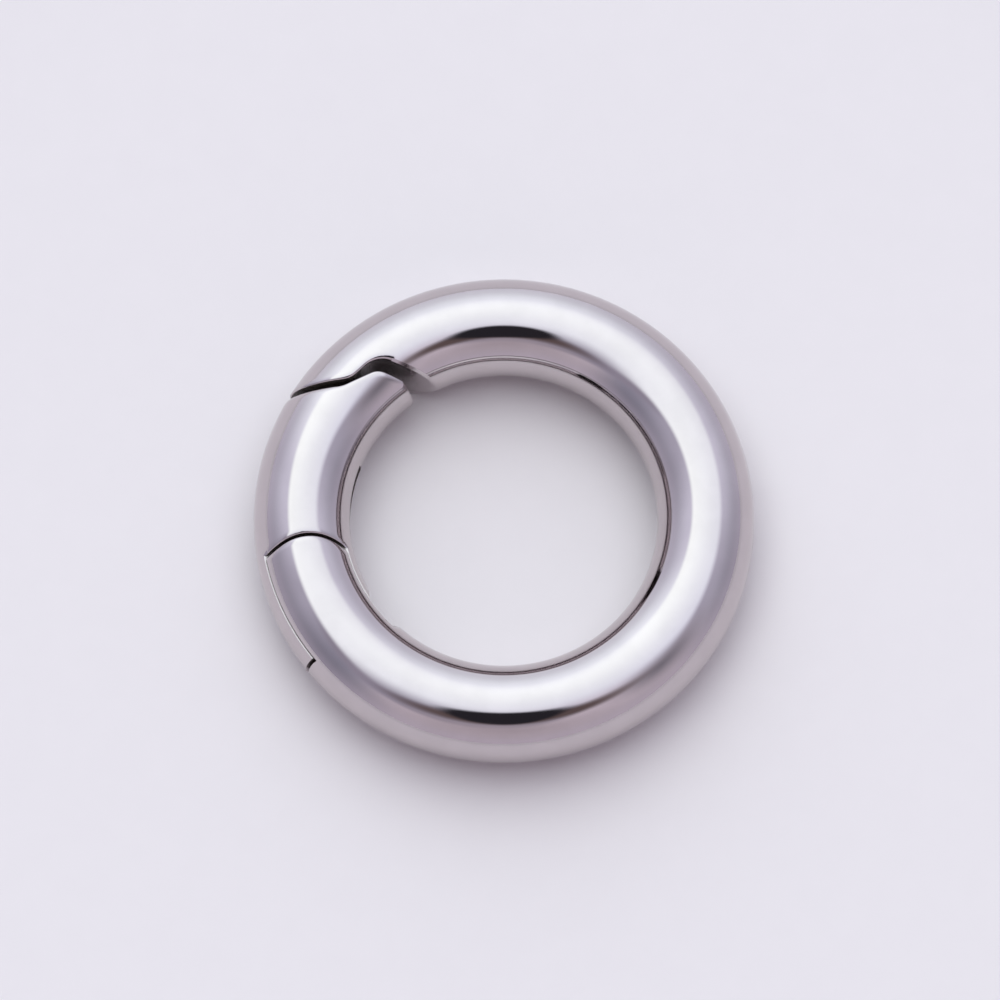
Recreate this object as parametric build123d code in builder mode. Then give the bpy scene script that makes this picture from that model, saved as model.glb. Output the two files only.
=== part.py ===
from build123d import *
from math import atan2, cos, degrees, hypot, pi, radians, sin
import os

os.makedirs("parts", exist_ok=True)

# Spring gate ring: a ring of round bar with a gate that swings inwards on a pin.
# The ring lies in the XY plane with its centre at the origin and its axis along Z.
# Angles round the ring are counter-clockwise from +X.

# ---- ring ----
ring_outer_d = 18.0
bar_d = 3.5
edge_break = 0.06
seat_edge_break = 0.09  # the seat's edges are broken more, so that nothing catches on them

# ---- hinge: a fork on the ring holds a tongue on the gate ----
hinge_angle = 205.0
pivot_offset = 0.3  # the pin stands this far outside the bar's centre line
cheek_r = 2.12  # round end of the fork's two cheeks, about the pin
cheek_flat_angle = 6.0  # where the round end runs out into a flat
shoulder_gap = 0.1
tongue_height = 1.8
tongue_side_gap = 0.05
tail_r = 2.03  # round tail of the tongue, about the pin
tail_flat_angle = 255.0  # where the tail's round runs out into a flat
tail_gap = 0.11

# ---- pin ----
pin_d = 1.0
pin_press_gap = 0.005  # radial, in the cheeks
pin_running_gap = 0.03  # radial, in the tongue
pin_cover = 0.4  # metal left over the end of the pin's blind hole
pin_end_gap = 0.03

# ---- torsion spring ----
wire_d = 0.18
turn_gap = 0.01
coil_turns = 2
coil_gap = 0.05  # radial, between the pin and the coil
spring_gap = 0.05  # between the wire and the floor of its slot
spring_side_gap = 0.055  # between the coil and the sides of its slot
front_leg_span = 43.6  # from the pin to the leg's end, as an angle round the ring
front_leg_inset = 1.1  # the leg ends this far inside the bar's centre line
front_leg_end_gap = 0.2
leg_bend_r = 2.0  # where each leg bends from the coil's slope to level
rear_leg_slope = 20.0
rear_leg_depth = 0.8  # how far the rear leg goes into the ring
rear_hole_gap = 0.04
rear_hole_end_gap = 0.1

# ---- opening: the gate's nose lies under a lip on the ring's seat ----
seat_angle = 135.0
lip_corner = (-0.49, 0.04)  # where the lip meets the ledge, in the seat's plane
lip_angle = 141.0
lip_round = 0.75
ledge_length = 1.27
ledge_angle = -2.0
brow_round = 0.93
relief_angle = -63.5
lip_gap = 0.24
ledge_gap = 0.12  # at the lip, and wider towards the brow
nose_ledge_angle = -19.0
nose_round = 0.65
relief_gap = 0.48
nose_reach = 0.08  # how far the nose's tip reaches past the corner of the brow
tip_round = 0.12

# ---- worked out from the sizes above ----
bar_r = bar_d / 2
ring_r = (ring_outer_d - bar_d) / 2
past_bar = bar_d  # cutters reach this far, well clear of the bar
shoulder_r = cheek_r + shoulder_gap
fork_slot_height = tongue_height + 2 * tongue_side_gap
end_wall_x = -(tail_r + tail_gap)
pin_r = pin_d / 2
pin_hole_depth = bar_d - pin_cover
wire_r = wire_d / 2
coil_r = pin_r + coil_gap + wire_r
pocket_r = coil_r + wire_r + spring_gap


def station(angle, offset=0.0):
    """A plane on the bar's centre line: X runs clockwise round the ring, Y outwards."""
    a = radians(angle)
    reach = ring_r + offset
    return Plane(
        origin=(reach * cos(a), reach * sin(a), 0),
        x_dir=(sin(a), -cos(a), 0),
        z_dir=(0, 0, 1),
    )


def beyond(start, length, angle):
    """The point a given length from a start point, in the plane that both lie in."""
    return (start[0] + length * cos(radians(angle)), start[1] + length * sin(radians(angle)))


def crossing(point, angle, other_point, other_angle):
    """The point where two lines cross, each given by a point on it and its angle."""
    across = other_point[0] - point[0], other_point[1] - point[1]
    a, b = radians(angle), radians(other_angle)
    length = (across[0] * sin(b) - across[1] * cos(b)) / sin(b - a)
    return beyond(point, length, angle)


pin_plane = station(hinge_angle, pivot_offset)
seat_plane = station(seat_angle)


# ---- lines across the bar, at the hinge and at the opening ----
def fork_line(radius):
    """One side of the hinge's seam: a round about the pin and a flat to the outside."""
    with BuildLine(pin_plane) as line:
        Line((0, -past_bar), (0, -radius))
        end_round = CenterArc((0, 0), radius, -90, 90 + cheek_flat_angle)
        PolarLine(end_round @ 1, past_bar, 90 + cheek_flat_angle)
    return line.line


# The ring's side of the opening, from the outside in: lip, ledge, brow and relief.
brow_corner = beyond(lip_corner, ledge_length, ledge_angle)
with BuildLine(seat_plane) as seat_line:
    FilletPolyline(
        beyond(lip_corner, past_bar, lip_angle),
        lip_corner,
        brow_corner,
        beyond(brow_corner, past_bar, relief_angle),
        radius=(lip_round, brow_round),
    )

# The gate's side: clear of the lip, the ledge and the relief, with its tip cut off straight.
beside_lip = beyond(lip_corner, lip_gap, lip_angle + 90)
below_ledge = beyond(lip_corner, ledge_gap, ledge_angle - 90)
beside_relief = beyond(brow_corner, relief_gap, relief_angle - 90)
nose_root = crossing(beside_lip, lip_angle, below_ledge, nose_ledge_angle)
nose_corner = crossing(below_ledge, nose_ledge_angle, beside_relief, relief_angle)
nose_tip = crossing(beside_relief, relief_angle, (brow_corner[0] + nose_reach, 0), 90)
with BuildLine(seat_plane) as nose_line:
    FilletPolyline(
        beyond(nose_root, past_bar, lip_angle),
        nose_root,
        nose_corner,
        nose_tip,
        (nose_tip[0], -past_bar),
        radius=(lip_round + lip_gap, nose_round, tip_round),
    )


def between(fork, opening):
    """The plan of the space between a line at the hinge and a line at the opening."""
    far_out = station((hinge_angle + seat_angle) / 2, 2 * past_bar).origin
    with BuildSketch() as space:
        with BuildLine():
            add(fork)
            add(opening)
            Polyline(fork @ 1, far_out, opening @ 0)
            Line(opening @ 1, fork @ 0)
        make_face()
    return space.sketch


# ---- plan of the tongue, from its tail to well inside the gate's arm ----
# The tail is square towards the outside of the ring and round towards the inside.
with BuildSketch(pin_plane) as tongue_plan:
    with BuildLine():
        tail_round = CenterArc((0, 0), tail_r, 180, tail_flat_angle - 180)
        tail_flat = PolarLine(tail_round @ 1, past_bar, tail_flat_angle + 90)
        Polyline(tail_round @ 0, (-tail_r, past_bar), (past_bar, past_bar), tail_flat @ 1)
    make_face()

# ---- the spring's legs and the slot for it in the gate ----
# Both legs leave the coil at a tangent. Angles here are in the pin's plane.
front_leg_end = station(hinge_angle - front_leg_span, -front_leg_inset).origin
front_reach = pin_plane.to_local_coords(front_leg_end)
front_leg_length = (hypot(front_reach.X, front_reach.Y) ** 2 - coil_r**2) ** 0.5
front_leg_angle = degrees(atan2(front_reach.Y, front_reach.X) - atan2(coil_r, front_leg_length))
front_tangent = front_leg_angle + 90
rear_leg_angle = 180 + rear_leg_slope
rear_tangent = rear_leg_angle - 90
coil_pitch = wire_d + turn_gap
coil_height = coil_pitch * (coil_turns + (rear_tangent - front_tangent) / 360)
spring_slot_height = coil_height + wire_d + 2 * spring_side_gap

# The slot is open to the inside of the ring, from the tail to the end of the front leg.
front_floor = beyond((0, 0), pocket_r, front_tangent)
front_floor_end = beyond(front_floor, front_leg_length + front_leg_end_gap, front_leg_angle)
rear_floor = beyond((0, 0), pocket_r, rear_tangent)
rear_floor_end = beyond(rear_floor, past_bar, rear_leg_angle)
with BuildSketch(pin_plane) as spring_slot:
    with BuildLine():
        Line(front_floor_end, front_floor)
        CenterArc((0, 0), pocket_r, front_tangent, rear_tangent - front_tangent)
        Polyline(
            rear_floor,
            rear_floor_end,
            (rear_floor_end[0], -past_bar),
            beyond(front_floor_end, past_bar, front_tangent + 180),
            front_floor_end,
        )
    make_face()

# The wire winds up left-handed from the rear leg, and each leg bends level beside the coil.
coil_start = pin_plane.offset(-coil_height / 2).location * Rot(0, 0, rear_tangent)
coil = coil_start * Helix(coil_pitch, coil_height, coil_r, lefthand=True)
coil_slope = degrees(atan2(coil_pitch, 2 * pi * coil_r))


def leg_plane(start, angle):
    """An upright plane from one end of the coil, with X along the leg."""
    along = pin_plane.x_dir.rotate(Axis.Z, angle)
    return Plane(origin=start, x_dir=along, z_dir=along.rotate(Axis.Z, -90))


rear_leg_plane = leg_plane(coil @ 0, rear_leg_angle)
front_leg_plane = leg_plane(coil @ 1, front_leg_angle)
with BuildLine(rear_leg_plane) as rear_bend:
    JernArc((0, 0), (cos(radians(coil_slope)), -sin(radians(coil_slope))), leg_bend_r, coil_slope)
with BuildLine(front_leg_plane) as front_bend:
    JernArc((0, 0), (cos(radians(coil_slope)), sin(radians(coil_slope))), leg_bend_r, -coil_slope)

# The rear leg runs into a hole in the fork's end wall.
rear_leg_start = rear_bend.line @ 1
rear_leg_to_wall = pin_plane.to_local_coords(rear_leg_start).X - end_wall_x
rear_leg_length = rear_leg_to_wall / cos(radians(rear_leg_slope)) + rear_leg_depth


def cut_edges(part):
    """The edges where cuts meet the bar's round skin, but not the skin's own seams."""
    skin = part.faces().filter_by(GeomType.TORUS).edges()
    seams = [edge for edge in skin.filter_by(GeomType.CIRCLE) if abs(edge.center().Z) < edge_break]
    return skin - seams


# A plain ring of round bar, which the ring and its gate are both cut from.
with BuildPart() as bar:
    with BuildSketch(Plane.XZ):
        with Locations((ring_r, 0)):
            Circle(bar_r)
    revolve(axis=Axis.Z)

# The ring: one casting with a seat at the opening and a fork at the hinge.
with BuildPart() as ring_body:
    add(bar.part)
    extrude(between(fork_line(cheek_r), seat_line.line), amount=bar_r, both=True, mode=Mode.SUBTRACT)
    with BuildSketch(pin_plane):
        with Locations((end_wall_x, 0)):
            Rectangle(2 * past_bar, 2 * past_bar, align=(Align.MIN, Align.CENTER))
    extrude(amount=fork_slot_height / 2, both=True, mode=Mode.SUBTRACT)
    ring_edges = cut_edges(ring_body)
    at_seat = [edge for edge in ring_edges if edge.distance_to(seat_plane.origin) < bar_d]
    chamfer(at_seat, length=seat_edge_break)
    at_fork = [e for e in cut_edges(ring_body) if e.distance_to(pin_plane.origin) < bar_d]
    chamfer(at_fork, length=edge_break)
    with BuildSketch(pin_plane.offset(-bar_r)):
        Circle(pin_r + pin_press_gap)
    extrude(amount=pin_hole_depth, mode=Mode.SUBTRACT)
    with BuildSketch(Plane(origin=rear_leg_start, z_dir=rear_leg_plane.x_dir)):
        Circle(wire_r + rear_hole_gap)
    extrude(amount=rear_leg_length + rear_hole_end_gap, mode=Mode.SUBTRACT)
ring_body.part.label = "ring_body"
export_step(ring_body.part, "parts/ring_body.step")

# The tongue: a flat slice of the same bar.
with BuildPart() as tongue:
    add(bar.part)
    extrude(tongue_plan.sketch, amount=tongue_height / 2, both=True, mode=Mode.INTERSECT)

# The gate: an arc of the bar with a nose at one end and the tongue at the other.
with BuildPart() as gate:
    add(bar.part)
    gate_plan = between(fork_line(shoulder_r), nose_line.line)
    extrude(gate_plan, amount=bar_r, both=True, mode=Mode.INTERSECT)
    chamfer(cut_edges(gate), length=edge_break)
    add(tongue.part)
    extrude(spring_slot.sketch, amount=spring_slot_height / 2, both=True, mode=Mode.SUBTRACT)
    with BuildSketch(pin_plane):
        Circle(pin_r + pin_running_gap)
    extrude(amount=tongue_height / 2, both=True, mode=Mode.SUBTRACT)
gate.part.label = "gate"
export_step(gate.part, "parts/gate.step")

# The pin: pressed in from below, with its lower end dressed flush with the bar.
with BuildPart() as hinge_pin:
    add(bar.part)
    with BuildSketch(pin_plane.offset(-bar_r)):
        Circle(pin_r)
    extrude(amount=pin_hole_depth - pin_end_gap, mode=Mode.INTERSECT)
hinge_pin.part.label = "hinge_pin"
export_step(hinge_pin.part, "parts/hinge_pin.step")

# The torsion spring: it winds up as the gate swings in, and pushes it out again.
with BuildPart() as gate_spring:
    with BuildLine():
        rear_leg = Line(rear_leg_start + rear_leg_plane.x_dir * rear_leg_length, rear_leg_start)
        add(rear_bend.line)
        add(coil)
        add(front_bend.line)
        Line(front_bend.line @ 1, front_bend.line @ 1 + front_leg_plane.x_dir * front_leg_length)
    with BuildSketch(Plane(origin=rear_leg @ 0, z_dir=rear_leg % 0)):
        Circle(wire_r)
    sweep()
gate_spring.part.label = "gate_spring"
export_step(gate_spring.part, "parts/gate_spring.step")
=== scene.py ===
from collections import Counter
from math import cos, pi, radians, sin, tan

import bmesh
import bpy
import numpy as np
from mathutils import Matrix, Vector
from mathutils.kdtree import KDTree


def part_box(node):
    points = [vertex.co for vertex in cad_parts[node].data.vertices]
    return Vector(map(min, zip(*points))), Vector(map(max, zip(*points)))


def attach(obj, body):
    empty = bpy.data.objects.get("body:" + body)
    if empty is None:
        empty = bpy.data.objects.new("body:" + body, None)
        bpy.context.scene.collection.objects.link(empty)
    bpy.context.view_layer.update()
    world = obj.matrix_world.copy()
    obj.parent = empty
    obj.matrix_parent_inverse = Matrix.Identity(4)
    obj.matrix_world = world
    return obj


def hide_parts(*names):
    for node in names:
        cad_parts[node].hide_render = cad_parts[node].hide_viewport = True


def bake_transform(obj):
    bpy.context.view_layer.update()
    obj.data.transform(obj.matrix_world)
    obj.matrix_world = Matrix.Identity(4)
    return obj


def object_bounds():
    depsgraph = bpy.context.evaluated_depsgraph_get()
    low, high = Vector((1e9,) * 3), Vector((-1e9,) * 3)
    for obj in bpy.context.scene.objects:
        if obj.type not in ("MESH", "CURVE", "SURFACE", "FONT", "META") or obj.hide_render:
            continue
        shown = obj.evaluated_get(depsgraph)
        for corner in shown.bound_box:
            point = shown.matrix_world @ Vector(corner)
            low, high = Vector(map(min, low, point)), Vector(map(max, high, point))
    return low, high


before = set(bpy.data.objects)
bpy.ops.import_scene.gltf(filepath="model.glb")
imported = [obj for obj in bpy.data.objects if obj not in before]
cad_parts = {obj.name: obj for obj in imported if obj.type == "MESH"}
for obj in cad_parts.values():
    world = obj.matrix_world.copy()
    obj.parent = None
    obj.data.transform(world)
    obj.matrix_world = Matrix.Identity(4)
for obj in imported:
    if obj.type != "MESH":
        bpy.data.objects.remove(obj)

cad_low, cad_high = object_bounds()

# The looks of a spring gate ring: polished round bar that lies on paper in a light tent.
# Names in capitals are set here. The others are worked out from the frame.

# ---- sizes, in metres, from the frame ----
ring_low, ring_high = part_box("ring_body")
bar_radius = (ring_high.z - ring_low.z) / 2
outer_radius = ring_high.x
ring_radius = outer_radius - bar_radius
floor_level = ring_low.z

# ---- the camera: a long lens, high over the near side ----
CAMERA_ELEVATION = 73.4  # degrees
CAMERA_DISTANCE = 0.5
VIEW_WIDTH = 0.03593  # how much the picture takes in at the ring
VIEW_RIGHT = -0.00014  # where the picture's middle lies, from the ring's
VIEW_UP = 0.00073
SENSOR_WIDTH = 36.0  # millimetres, as Blender has it

# ---- the skin: how finely the round bar is meshed ----
ON_SKIN = 4e-6  # how far from the true round a vertex of the skin may lie
FACES_OUT = 0.9  # how nearly the skin faces straight out, 1 being fully
SAME_PLACE = 1e-7  # vertices nearer to each other than this become one
BROKEN_EDGE_WIDTH = 0.125e-3  # a face narrower than this between two others is a broken edge
LEAST_TURN = radians(8)  # a broken edge that turns by less than this stays flat
ROLL_WIDTH = 0.20e-3  # buffing rolls the skin off towards each broken edge
ROLL_ANGLE = radians(16)
RIM_PASSES, RIM_STEP = 2, ROLL_WIDTH / 4  # how often, and how finely, the skin is cut up there
TINY = 1e-9  # keeps a length that is divided by above 0

SKIN, WALL, EDGE = 0, 1, 2


# ==== node trees ====
NOISE_RANGE = (0.3, 0.7)  # a noise texture seldom leaves these values


class Tree:
    """A node tree that is written as sums: each call adds one node and gives its output."""

    def __init__(self, owner):
        owner.use_nodes = True
        self.tree = owner.node_tree
        self.tree.nodes.clear()

    def add(self, kind, output=0, inputs=None, **settings):
        node = self.tree.nodes.new(kind)
        for name, value in settings.items():
            setattr(node, name, value)
        for name, value in (inputs or {}).items():
            self.set(node.inputs[name], value)
        return node.outputs[output] if len(node.outputs) else node

    def set(self, socket, value):
        if isinstance(value, bpy.types.NodeSocket):
            self.tree.links.new(value, socket)
        else:
            socket.default_value = value

    def maths(self, operation, *values):
        node = self.tree.nodes.new("ShaderNodeMath")
        node.operation = operation
        for socket, value in zip(node.inputs, values):
            self.set(socket, value)
        return node.outputs[0]

    def vector(self, operation, *values):
        node = self.tree.nodes.new("ShaderNodeVectorMath")
        node.operation = operation
        for socket, value in zip(node.inputs, values):
            self.set(socket, value)
        return node.outputs["Value" if operation in ("DOT_PRODUCT", "LENGTH") else "Vector"]

    def scaled(self, vector, scale):
        result = self.vector("SCALE", vector)
        self.set(result.node.inputs["Scale"], scale)
        return result

    def split(self, vector):
        node = self.tree.nodes.new("ShaderNodeSeparateXYZ")
        self.set(node.inputs[0], vector)
        return node.outputs

    def smooth(self, value, low, high, from_value=0.0, to_value=1.0):
        """from_value below low, to_value above high, and a smooth step between them."""
        inputs = {
            "Value": value, "From Min": low, "From Max": high,
            "To Min": from_value, "To Max": to_value,
        }
        return self.add("ShaderNodeMapRange", inputs=inputs, interpolation_type="SMOOTHSTEP")

    def mix(self, share, first, second):
        node = self.tree.nodes.new("ShaderNodeMix")
        node.data_type = "RGBA"
        self.set(node.inputs["Factor"], share)
        for name, value in (("A", first), ("B", second)):
            socket = next(s for s in node.inputs if s.name == name and s.type == "RGBA")
            self.set(socket, value if isinstance(value, bpy.types.NodeSocket) else (*value, 1.0))
        return next(s for s in node.outputs if s.type == "RGBA")

    def ramp(self, share, stops):
        node = self.tree.nodes.new("ShaderNodeValToRGB")
        node.color_ramp.interpolation = "EASE"
        while len(node.color_ramp.elements) < len(stops):
            node.color_ramp.elements.new(1.0)
        for element, (place, colour) in zip(node.color_ramp.elements, stops):
            element.position, element.color = place, (*colour, 1.0)
        self.set(node.inputs[0], share)
        return node.outputs[0]


# ==== the camera and the floor ====
def make_camera():
    """A camera in front of the ring and above it, nearly without perspective."""
    data = bpy.data.cameras.new("camera")
    data.sensor_width = SENSOR_WIDTH
    data.lens = SENSOR_WIDTH * CAMERA_DISTANCE / VIEW_WIDTH
    data.clip_start, data.clip_end = 0.01, 10.0
    data.shift_x, data.shift_y = VIEW_RIGHT / VIEW_WIDTH, VIEW_UP / VIEW_WIDTH
    camera = bpy.data.objects.new("camera", data)
    tilt = radians(CAMERA_ELEVATION)
    camera.location = (0, -CAMERA_DISTANCE * cos(tilt), CAMERA_DISTANCE * sin(tilt))
    camera.rotation_euler = (pi / 2 - tilt, 0, 0)
    bpy.context.scene.collection.objects.link(camera)
    bpy.context.scene.camera = camera


PAPER_REACH = 3.0  # how far the sheet goes each way from the ring, in metres
PAPER, PAPER_FIBRE = (0.820, 0.797, 0.852), (0.826, 0.803, 0.858)
FIBRES_PER_METRE = 900.0
# painted shade: the sheet is painted a little darker away from the ring: from where, to where, and how
# much
PAPER_SHADE_SPAN, PAPER_FAR_SHADE = (0.022, 0.055), 0.87


def make_floor():
    """A wide pale sheet of paper that the ring lies on, with painted shade away from the ring."""
    corners = ((-1, -1), (1, -1), (1, 1), (-1, 1))
    places = [(x * PAPER_REACH, y * PAPER_REACH, floor_level) for x, y in corners]
    mesh = bpy.data.meshes.new("floor")
    mesh.from_pydata(places, [], [(0, 1, 2, 3)])
    floor = bpy.data.objects.new("floor", mesh)
    bpy.context.scene.collection.objects.link(floor)

    material = bpy.data.materials.new("paper")
    t = Tree(material)
    place = t.add("ShaderNodeTexCoord", "Object")
    pattern = {"Vector": place, "Scale": FIBRES_PER_METRE, "Detail": 3.0}
    fibre = t.smooth(t.add("ShaderNodeTexNoise", inputs=pattern), *NOISE_RANGE)
    # painted shade: the paper's colour grows darker away from the ring
    far_shade = t.smooth(t.vector("LENGTH", place), *PAPER_SHADE_SPAN, 1.0, PAPER_FAR_SHADE)
    colour = t.scaled(t.mix(fibre, PAPER, PAPER_FIBRE), far_shade)
    inputs = {"Base Color": colour, "Roughness": 0.7, "Specular IOR Level": 0.2}
    surface = t.add("ShaderNodeBsdfPrincipled", inputs=inputs)
    t.add("ShaderNodeOutputMaterial", inputs={"Surface": surface})
    mesh.materials.append(material)


# ==== the light: a tent round the ring, seen by direction ====
# Most of the numbers follow a fit to what the photo's steel reflects, and were then rounded.
# a warm front, a dim left and right, and a bright back
WARM, DIM, DARK = (0.65, 0.60, 0.68), (0.45, 0.45, 0.55), (0.30, 0.30, 0.38)
COOL, BRIGHT = (0.70, 0.72, 0.85), (1.10, 1.20, 1.30)
# the walls, by the direction's azimuth plus 180
WALLS = [
    (0, DIM), (30, DARK), (60, WARM), (140, WARM), (180, DIM),
    (220, COOL), (270, BRIGHT), (300, BRIGHT), (330, COOL), (360, DIM),
]
# a direction's height goes from 0, level, to 1, straight up
WALLS_RISE, WALLS_HIGH = (0.2, 0.8), 1.37  # between these heights the walls grow brighter, to this
NEAR_FLOOR = (0.70, 0.65, 0.80)
FLOOR_RISE, FLOOR_SHARE = (0.0, 0.5), 0.37  # how high the floor's colour reaches, and how strong it is
# where the soft box's light starts and ends, on a ceiling at a height of 1
BOX_LEFT, BOX_RIGHT = (-0.75, -0.50), (0.55, 0.90)
BOX_FRONT, BOX_BACK = (-0.60, 0.00), (0.10, 1.50)
# it grows brighter towards the back and, by this slant, towards the left
BOX_DIM, BOX_BRIGHT = (1.0, 1.05, 1.3), (2.4, 2.7, 2.4)
BOX_SLANT, BOX_SPAN = 0.6, (-1.4, 2.8)
# ovals on the walls: colour, and where: azimuth, elevation, width, height, softness
HOOD = ((0.42, 0.40, 0.50), (245, 60, 60, 45, 0.2))
FRONT = [
    ((0.56, 0.50, 0.56), (270, 35, 45, 25, 1.4)),  # a wide soft shade
    ((0.27, 0.26, 0.31), (330, 42, 20, 30, 1.2)),  # a dim patch at its right
    ((0.16, 0.12, 0.12), (275, 59, 54, 19, 0.5)),  # the brown round the lens
    ((0.03, 0.028, 0.036), (270, 64, 24, 28, 0.2)),  # the dark lens
]
BACKDROP = (0.70, 0.69, 0.775)  # what a camera sees past the sheet
PAPER_CONTRAST, PAPER_LIGHT = 2.1, (0.90, 0.84, 0.78)
# the front lights the paper more than it shows in the steel
FRONT_FADE, FRONT_ON_PAPER = (-0.8, 0.1), 1.9
LEAST_AHEAD = 0.02  # keeps what is divided by above 0, for directions level or behind


def oval(t, way, azimuth, elevation, width, height, soft):
    """1 inside an oval on the tent's wall, seen in that direction, and 0 outside."""
    turn, rise = radians(azimuth), radians(elevation)
    middle = Vector((cos(turn) * cos(rise), sin(turn) * cos(rise), sin(rise)))
    right = Vector((-sin(turn), cos(turn), 0))
    ahead = t.maths("MAXIMUM", t.vector("DOT_PRODUCT", way, middle), LEAST_AHEAD)
    squares = []
    for direction, half in ((right, width / 2), (middle.cross(right), height / 2)):
        across = t.maths("DIVIDE", t.vector("DOT_PRODUCT", way, direction), ahead)
        share = t.maths("DIVIDE", across, tan(radians(half)))
        squares.append(t.maths("MULTIPLY", share, share))
    reach = t.maths("SQRT", t.maths("ADD", *squares))
    return t.smooth(reach, 1.0 - soft, 1.0 + soft, 1.0, 0.0)


def tent_walls(t, way):
    """The walls' colour: by azimuth, brighter higher up, with a hood high at the front left."""
    x, y, z = t.split(way)
    turn = t.maths("ADD", t.maths("DIVIDE", t.maths("ARCTAN2", y, x), 2 * pi), 0.5)
    light = t.ramp(turn, [(degrees / 360, colour) for degrees, colour in WALLS])
    light = t.scaled(light, t.smooth(z, *WALLS_RISE, 1.0, WALLS_HIGH))
    light = t.mix(t.smooth(z, *FLOOR_RISE, FLOOR_SHARE, 0.0), light, NEAR_FLOOR)
    colour, where = HOOD
    return t.mix(oval(t, way, *where), light, colour)


def soft_box(t, way):
    """How far a direction meets the soft box, from 0 to 1, and the box's colour there."""
    x, y, z = t.split(way)
    up = t.maths("MAXIMUM", z, LEAST_AHEAD)
    across, along = t.maths("DIVIDE", x, up), t.maths("DIVIDE", y, up)
    inside = t.smooth(across, *BOX_LEFT)
    for place, side in ((across, BOX_RIGHT), (along, BOX_BACK)):
        inside = t.maths("MULTIPLY", inside, t.smooth(place, *side, 1.0, 0.0))
    inside = t.maths("MULTIPLY", inside, t.smooth(along, *BOX_FRONT))
    slant = t.maths("SUBTRACT", along, t.maths("MULTIPLY", across, BOX_SLANT))
    return inside, t.mix(t.smooth(slant, *BOX_SPAN), BOX_DIM, BOX_BRIGHT)


def light_on_paper(t, way, light):
    """The light in its true range, which the paper shows and the steel's highlights compress."""
    _, y, _ = t.split(way)
    level = t.add("ShaderNodeRGBToBW", inputs={"Color": light})
    front = t.smooth(y, *FRONT_FADE, FRONT_ON_PAPER, 1.0)
    strength = t.maths("MULTIPLY", t.maths("POWER", level, PAPER_CONTRAST - 1), front)
    return t.scaled(t.vector("MULTIPLY", light, PAPER_LIGHT), strength)


def make_light():
    """A light tent: a soft box overhead and behind, pale walls, and the dark camera in front."""
    world = bpy.data.worlds.new("tent")
    bpy.context.scene.world = world
    t = Tree(world)
    way = t.add("ShaderNodeTexCoord", "Generated")
    light = tent_walls(t, way)
    inside, box = soft_box(t, way)
    light = t.mix(inside, light, box)
    for colour, where in FRONT:
        light = t.mix(oval(t, way, *where), light, colour)
    path = t.tree.nodes.new("ShaderNodeLightPath").outputs
    light = t.mix(path["Diffuse Depth"], light, light_on_paper(t, way, light))
    light = t.mix(path["Is Camera Ray"], light, BACKDROP)
    background = t.add("ShaderNodeBackground", inputs={"Color": light, "Strength": 1.0})
    t.add("ShaderNodeOutputWorld", inputs={"Surface": background})


# ==== meshes of steel, with the round bar's true normals ====
def true_round(points):
    """The nearest points on the bar's round surface, its normals there, and how far off they were."""
    flat = np.hypot(points[:, 0], points[:, 1])
    middle = np.zeros_like(points)
    middle[:, :2] = points[:, :2] * (ring_radius / flat)[:, None]
    out = points - middle
    far = np.linalg.norm(out, axis=1)
    normals = out / far[:, None]
    return middle + normals * bar_radius, normals, np.abs(far - bar_radius)


def islands_of(mesh):
    """For each polygon, the number of its group of joined polygons: one CAD face each."""
    parent = list(range(len(mesh.vertices)))

    def root(i):
        while parent[i] != i:
            parent[i] = parent[parent[i]]
            i = parent[i]
        return i

    for polygon in mesh.polygons:
        first = root(polygon.vertices[0])
        for other in polygon.vertices[1:]:
            parent[root(other)] = first
    return [root(polygon.vertices[0]) for polygon in mesh.polygons]


def kinds_of(mesh):
    """For each polygon: part of the bar's skin, of a cut wall, or of a broken edge between two faces."""
    points = np.array([v.co for v in mesh.vertices])
    _, normals, off = true_round(points)
    groups = {}
    for polygon, group in zip(mesh.polygons, islands_of(mesh)):
        groups.setdefault(group, []).append(polygon)
    kinds = np.zeros(len(mesh.polygons), int)
    for polygons in groups.values():
        vertices = sorted({v for p in polygons for v in p.vertices})
        area = sum(p.area for p in polygons)
        facing = sum(p.area * np.dot(p.normal, normals[p.vertices[0]]) for p in polygons) / area
        uses = Counter(edge for p in polygons for edge in p.edge_keys)
        outline = sum(np.linalg.norm(points[a] - points[b]) for (a, b), n in uses.items() if n == 1)
        if off[vertices].max() < ON_SKIN and facing > FACES_OUT:
            kind = SKIN
        elif 2 * area / outline < BROKEN_EDGE_WIDTH:  # the mean width of a narrow strip
            kind = EDGE
        else:
            kind = WALL
        for p in polygons:
            kinds[p.index] = kind
    return kinds


def touches(element, layer, kind):
    """Whether a face of that kind meets this vertex or edge."""
    return any(face[layer] == kind for face in element.link_faces)


def in_nanometres(point):
    """A point in whole nanometres, by which it is found again in the subdivided mesh."""
    return tuple(round(c * 1e9) for c in point)


def share_normals(bm):
    """Give each broken edge the normals of the faces that it joins."""
    kind = bm.faces.layers.int["kind"]
    normal = bm.loops.layers.float_vector["own_normal"]
    for face in bm.faces:
        if face[kind] != EDGE:
            continue
        for loop in face.loops:
            corners = loop.vert.link_loops
            near = [c for c in corners if c.face[kind] == SKIN]
            near = near or [c for c in corners if c.face[kind] == WALL]
            total = sum((Vector(c[normal]) for c in near), Vector())
            if total.length > 0:
                loop[normal] = total.normalized()


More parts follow.
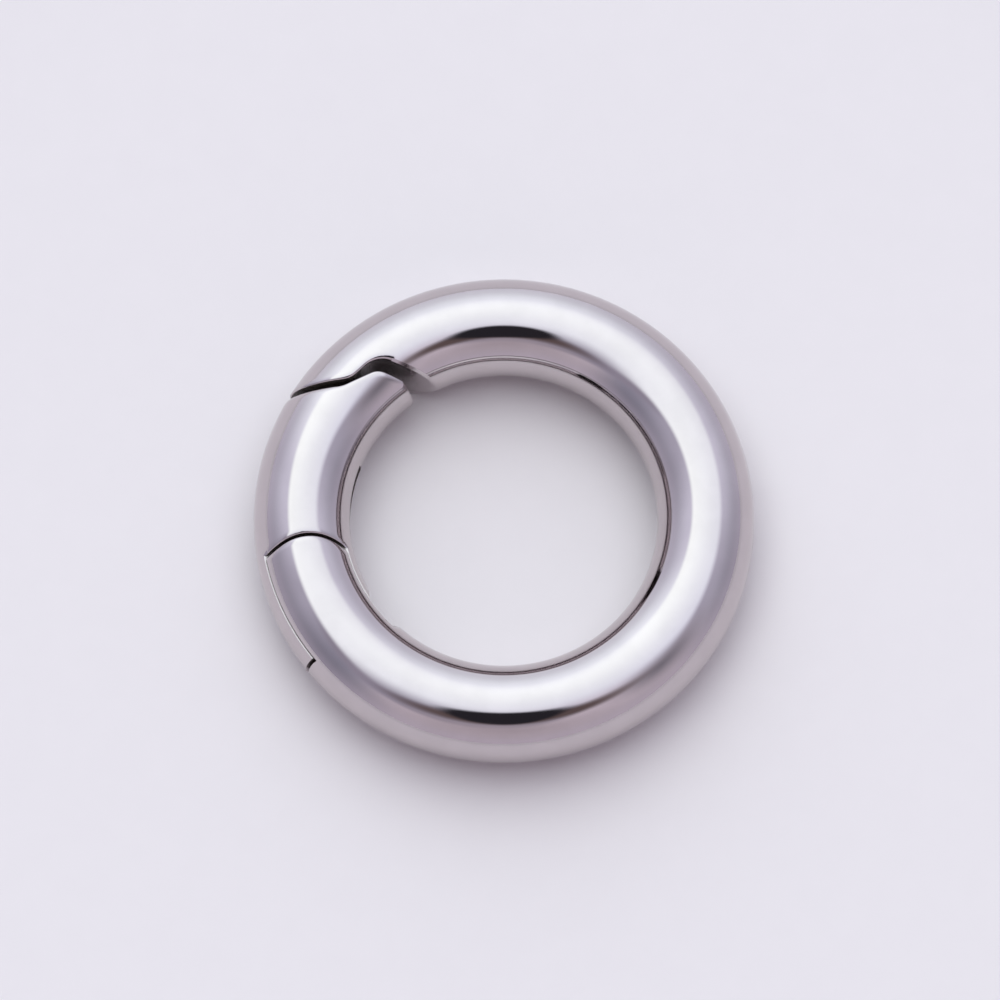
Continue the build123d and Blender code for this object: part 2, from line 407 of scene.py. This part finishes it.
def bulges_of(bm, across):
    """How far the middle of each line across a broken edge moves out to make it round."""
    normal = bm.loops.layers.float_vector["own_normal"]
    bulges = {}
    for edge in across:
        a, b = (next(c for c in v.link_loops if c.face in edge.link_faces) for v in edge.verts)
        normal_a, normal_b = Vector(a[normal]), Vector(b[normal])
        turn = normal_a.angle(normal_b, 0.0)
        if turn <= LEAST_TURN:
            continue
        middle = (edge.verts[0].co + edge.verts[1].co) / 2
        span = edge.verts[1].co - edge.verts[0].co
        along = normal_a.cross(normal_b).normalized()
        width = (span - along * span.dot(along)).length
        rise = width / 2 * tan(turn / 4)
        bulges[in_nanometres(middle)] = (normal_a + normal_b).normalized() * rise
    return bulges


def triangulate(bm):
    bmesh.ops.triangulate(bm, faces=[f for f in bm.faces if len(f.verts) > 3])


def round_edges(bm):
    """Halve the lines of the skin and those across the broken edges, and round the broken edges."""
    kind = bm.faces.layers.int["kind"]
    across = [
        e for e in bm.edges
        if all(f[kind] == EDGE for f in e.link_faces) and len(e.link_faces) == 2
    ]
    bulges = bulges_of(bm, across)
    skin_edges = [e for e in bm.edges if touches(e, kind, SKIN)]
    chosen = list(dict.fromkeys(skin_edges + across))
    bmesh.ops.subdivide_edges(bm, edges=chosen, cuts=1, use_grid_fill=True)
    for vert in bm.verts:
        bulge = bulges.get(in_nanometres(vert.co))
        if bulge:
            vert.co += bulge
    triangulate(bm)


def refine_rims(bm):
    """Make the skin's triangles small where it rolls off."""
    kind = bm.faces.layers.int["kind"]
    for _ in range(RIM_PASSES):
        rim = KDTree(len(bm.verts))
        for i, vert in enumerate(bm.verts):
            if touches(vert, kind, SKIN) and touches(vert, kind, EDGE):
                rim.insert(vert.co, i)
        rim.balance()
        near = [
            e for e in bm.edges
            if touches(e, kind, SKIN) and e.calc_length() > RIM_STEP
            and min(rim.find(v.co)[2] for v in e.verts) < ROLL_WIDTH
        ]
        bmesh.ops.subdivide_edges(bm, edges=near, cuts=1, use_grid_fill=True)
        triangulate(bm)


def delete_folded(bm):
    """Delete the faces that lie back to back, as a sliver leaves them when it is cut across."""
    same_corners = {}
    for face in bm.faces:
        same_corners.setdefault(frozenset(face.verts), []).append(face)
    folded = [face for faces in same_corners.values() if len(faces) > 1 for face in faces]
    bmesh.ops.delete(bm, geom=folded, context="FACES")


def follow_round(bm):
    """Move the skin's vertices onto the true round, within the CAD model's box."""
    kind = bm.faces.layers.int["kind"]
    skin = [v for v in bm.verts if touches(v, kind, SKIN)]
    exact, _, _ = true_round(np.array([v.co for v in skin]))
    for vert, place in zip(skin, np.clip(exact, cad_low, cad_high)):
        vert.co = place


def roll_off(mesh, kinds, points, normals, own, on_round):
    """Tilt the skin's normals towards the broken edges near them."""
    towards = {}
    for polygon in mesh.polygons:
        if kinds[polygon.index] != EDGE:
            continue
        rim = [v for v in polygon.vertices if on_round[v]]
        off = [own[i] for i, v in zip(polygon.loop_indices, polygon.vertices) if not on_round[v]]
        if off:
            for v in rim:
                towards[v] = towards.get(v, 0) + sum(off)
    tree = KDTree(len(towards))
    for v in towards:
        tree.insert(points[v], v)
    tree.balance()
    for v in np.flatnonzero(on_round):
        _, rim, far = tree.find(points[v])
        if far >= ROLL_WIDTH:
            continue
        side = towards[rim] - normals[v] * np.dot(towards[rim], normals[v])
        tilt = tan(ROLL_ANGLE * (1 - far / ROLL_WIDTH) ** 2)
        turned = normals[v] + side / max(np.linalg.norm(side), TINY) * tilt
        normals[v] = turned / np.linalg.norm(turned)


def set_normals(mesh):
    """Give the skin the true round's normals, rolled off at its rims, and other faces their own."""
    points = np.array([v.co for v in mesh.vertices])
    _, round_normals, _ = true_round(points)
    kinds = np.zeros(len(mesh.polygons), np.int32)
    mesh.attributes["kind"].data.foreach_get("value", kinds)
    own = np.zeros(len(mesh.loops) * 3, np.float32)
    mesh.attributes["own_normal"].data.foreach_get("vector", own)
    own = own.reshape(-1, 3)
    on_round = np.zeros(len(mesh.vertices), bool)
    for polygon in mesh.polygons:
        if kinds[polygon.index] == SKIN:
            on_round[list(polygon.vertices)] = True
    roll_off(mesh, kinds, points, round_normals, own, on_round)
    for polygon in mesh.polygons:
        kind = kinds[polygon.index]
        for i in polygon.loop_indices:
            v = mesh.loops[i].vertex_index
            if kind == SKIN or (kind == EDGE and on_round[v]):
                own[i] = round_normals[v]
            else:
                own[i] /= max(np.linalg.norm(own[i]), TINY)
        polygon.use_smooth = True
    mesh.normals_split_custom_set([tuple(n) for n in own.tolist()])
    return kinds


def finer(node, name):
    """A finer piece from a CAD node: its skin on the true round, and its broken edges rounded."""
    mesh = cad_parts[node].data.copy()
    mesh.name = name
    kinds = kinds_of(mesh)
    mesh.attributes.new("kind", "INT", "FACE").data.foreach_set("value", kinds.astype(np.int32))
    own = np.zeros(len(mesh.loops) * 3, np.float32)
    mesh.corner_normals.foreach_get("vector", own)
    mesh.attributes.new("own_normal", "FLOAT_VECTOR", "CORNER").data.foreach_set("vector", own)
    if mesh.has_custom_normals:
        mesh.attributes.remove(mesh.attributes["custom_normal"])

    bm = bmesh.new()
    bm.from_mesh(mesh)
    bmesh.ops.remove_doubles(bm, verts=bm.verts, dist=SAME_PLACE)
    for step in (share_normals, round_edges, refine_rims, delete_folded, follow_round):
        step(bm)
    bm.to_mesh(mesh)
    bm.free()

    kinds = set_normals(mesh)
    for attribute in ("kind", "own_normal"):
        mesh.attributes.remove(mesh.attributes[attribute])
    piece = bpy.data.objects.new(name, mesh)
    bpy.context.scene.collection.objects.link(piece)
    return piece, kinds


# ==== steel ====
MILLIMETRES = 1000.0  # in a metre: the polish's patterns are in millimetres
MARKS_SCALE, MARKS_STRETCH = 22.0, 0.08  # fine marks, which run along the bar
CLOUD_SCALE = 0.9
CLOUD_EDGE, CLOUD_SHADE = (0.35, 0.65), 0.965  # a cloud's soft edge, and how much dimmer it is
CLOUD_DULL, CLOUD_ROUGH = (0.4, 0.7), 0.25  # a dull place's soft edge, and how much rougher
SWELL_SCALE = 0.45
# how open a place is, as far as the reach and close by: from where it gets painted shade to where it is
# clean
OPEN_FAR, OPEN_NEAR, NEAR_SHARE = (0.08, 0.70), (0.45, 0.85), 0.15
FILM_AND_GAP_SHADE = (0.066, 0.050, 0.043)  # painted shade in a gap, with the dark film of polish that stays there

BAR_STEEL = (0.575, 0.522, 0.532)
PIN_STEEL = (0.50, 0.47, 0.48)
WIRE_STEEL = (0.46, 0.44, 0.45)
# finishes: least and most roughness, height of the marks and the swells, and reach of the painted gap
# shade and film
POLISHED = ((0.035, 0.06), 2e-8, 4e-6, 0.0)
MILLED = ((0.10, 0.17), 2e-7, 3e-7, 1e-3)
DRAWN = ((0.18, 0.32), 2e-7, 0.0, 0.0)
GROUND = ((0.15, 0.30), 1e-7, 0.0, 0.0)


def cleanness(t, reach):
    """How far the steel is out of the painted gap shade, by ambient occlusion: 0 deep in a gap, where
    the shade and film are painted, and 1 in the open.
    """
    far, near = (
        t.add("ShaderNodeAmbientOcclusion", "AO", inputs={"Distance": distance}, samples=8)
        for distance in (reach, NEAR_SHARE * reach)
    )
    return t.maths("MULTIPLY", t.smooth(far, *OPEN_FAR), t.smooth(near, *OPEN_NEAR))


def steel(name, turned, colour, finish):
    """Bar steel, marked along the bar. Turned, the marks' join is opposite the gate. With a reach,
    painted shade darkens it in gaps.
    """
    gloss, marks, waves, reach = finish
    material = bpy.data.materials.new(name)
    t = Tree(material)
    place = t.scaled(t.add("ShaderNodeTexCoord", "Object"), MILLIMETRES)
    x, y, z = t.split(place)
    if turned:
        x, y = t.maths("MULTIPLY", x, -1.0), t.maths("MULTIPLY", y, -1.0)
    along = t.maths("MULTIPLY", t.maths("ARCTAN2", y, x), ring_radius * MILLIMETRES)
    flat = t.maths("SQRT", t.maths("ADD", t.maths("MULTIPLY", x, x), t.maths("MULTIPLY", y, y)))
    out = t.maths("SUBTRACT", flat, ring_radius * MILLIMETRES)
    drawn_out = t.maths("MULTIPLY", along, MARKS_STRETCH)
    lie = t.add("ShaderNodeCombineXYZ", inputs={"X": drawn_out, "Y": out, "Z": z})

    pattern = {"Vector": lie, "Scale": MARKS_SCALE, "Detail": 4.0, "Roughness": 0.6}
    lines = t.add("ShaderNodeTexNoise", inputs=pattern)
    pattern = {"Vector": place, "Scale": CLOUD_SCALE, "Detail": 3.0}
    cloud = t.add("ShaderNodeTexNoise", inputs=pattern)
    pattern = {"Vector": place, "Scale": SWELL_SCALE, "Detail": 1.0}
    swell = t.add("ShaderNodeTexNoise", inputs=pattern)

    shade = tuple(c * CLOUD_SHADE for c in colour)
    tint = t.mix(t.smooth(cloud, *CLOUD_EDGE), shade, colour)
    clean = 1.0
    # painted shade: steel that ambient occlusion finds deep in a gap takes the dark film's colour and
    # stops being metal
    if reach:
        clean = cleanness(t, reach)
        tint = t.mix(clean, FILM_AND_GAP_SHADE, tint)
    low, high = gloss
    rough = t.smooth(lines, *NOISE_RANGE, low, high)
    rough = t.maths("ADD", rough, t.smooth(cloud, *CLOUD_DULL, 0.0, CLOUD_ROUGH * low))
    bump = {"Strength": 1.0, "Distance": marks, "Height": lines}
    fine = t.add("ShaderNodeBump", inputs=bump)
    bump = {"Strength": 1.0, "Distance": waves, "Height": swell, "Normal": fine}
    wide = t.add("ShaderNodeBump", inputs=bump)
    inputs = {"Base Color": tint, "Metallic": clean, "Roughness": rough, "Normal": wide}
    surface = t.add("ShaderNodeBsdfPrincipled", inputs=inputs)
    t.add("ShaderNodeOutputMaterial", inputs={"Surface": surface})
    return material


# ==== the pieces ====
def make_steel_piece(node, body, name, turned):
    """The ring or the gate: polished all over, apart from the walls that a cutter left."""
    piece, kinds = finer(node, name)
    piece.data.materials.clear()
    piece.data.materials.append(steel(name + "_polish", turned, BAR_STEEL, POLISHED))
    piece.data.materials.append(steel(name + "_milled", turned, BAR_STEEL, MILLED))
    for polygon in piece.data.polygons:
        polygon.material_index = 1 if kinds[polygon.index] == WALL else 0
    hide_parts(node)
    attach(piece, body)


def make_spring():
    """The gate's spring: a copy of its CAD mesh in drawn wire steel, in place of the CAD part."""
    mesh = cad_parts["gate_spring"].data.copy()
    mesh.name = "spring_wire"
    mesh.materials.clear()
    mesh.materials.append(steel("wire_drawn", False, WIRE_STEEL, DRAWN))
    piece = bpy.data.objects.new("spring_wire", mesh)
    bpy.context.scene.collection.objects.link(piece)
    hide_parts("gate_spring")
    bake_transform(piece)


def finish_pin():
    """The hinge's pin keeps its CAD mesh and gets a ground finish."""
    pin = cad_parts["hinge_pin"].data
    pin.materials.clear()
    pin.materials.append(steel("pin_ground", False, PIN_STEEL, GROUND))


make_camera()
make_floor()
make_light()
bpy.context.scene.view_settings.view_transform = "Standard"
make_steel_piece("ring_body", "ring", "ring_steel", False)
make_steel_piece("gate", "gate", "gate_steel", True)
make_spring()
finish_pin()
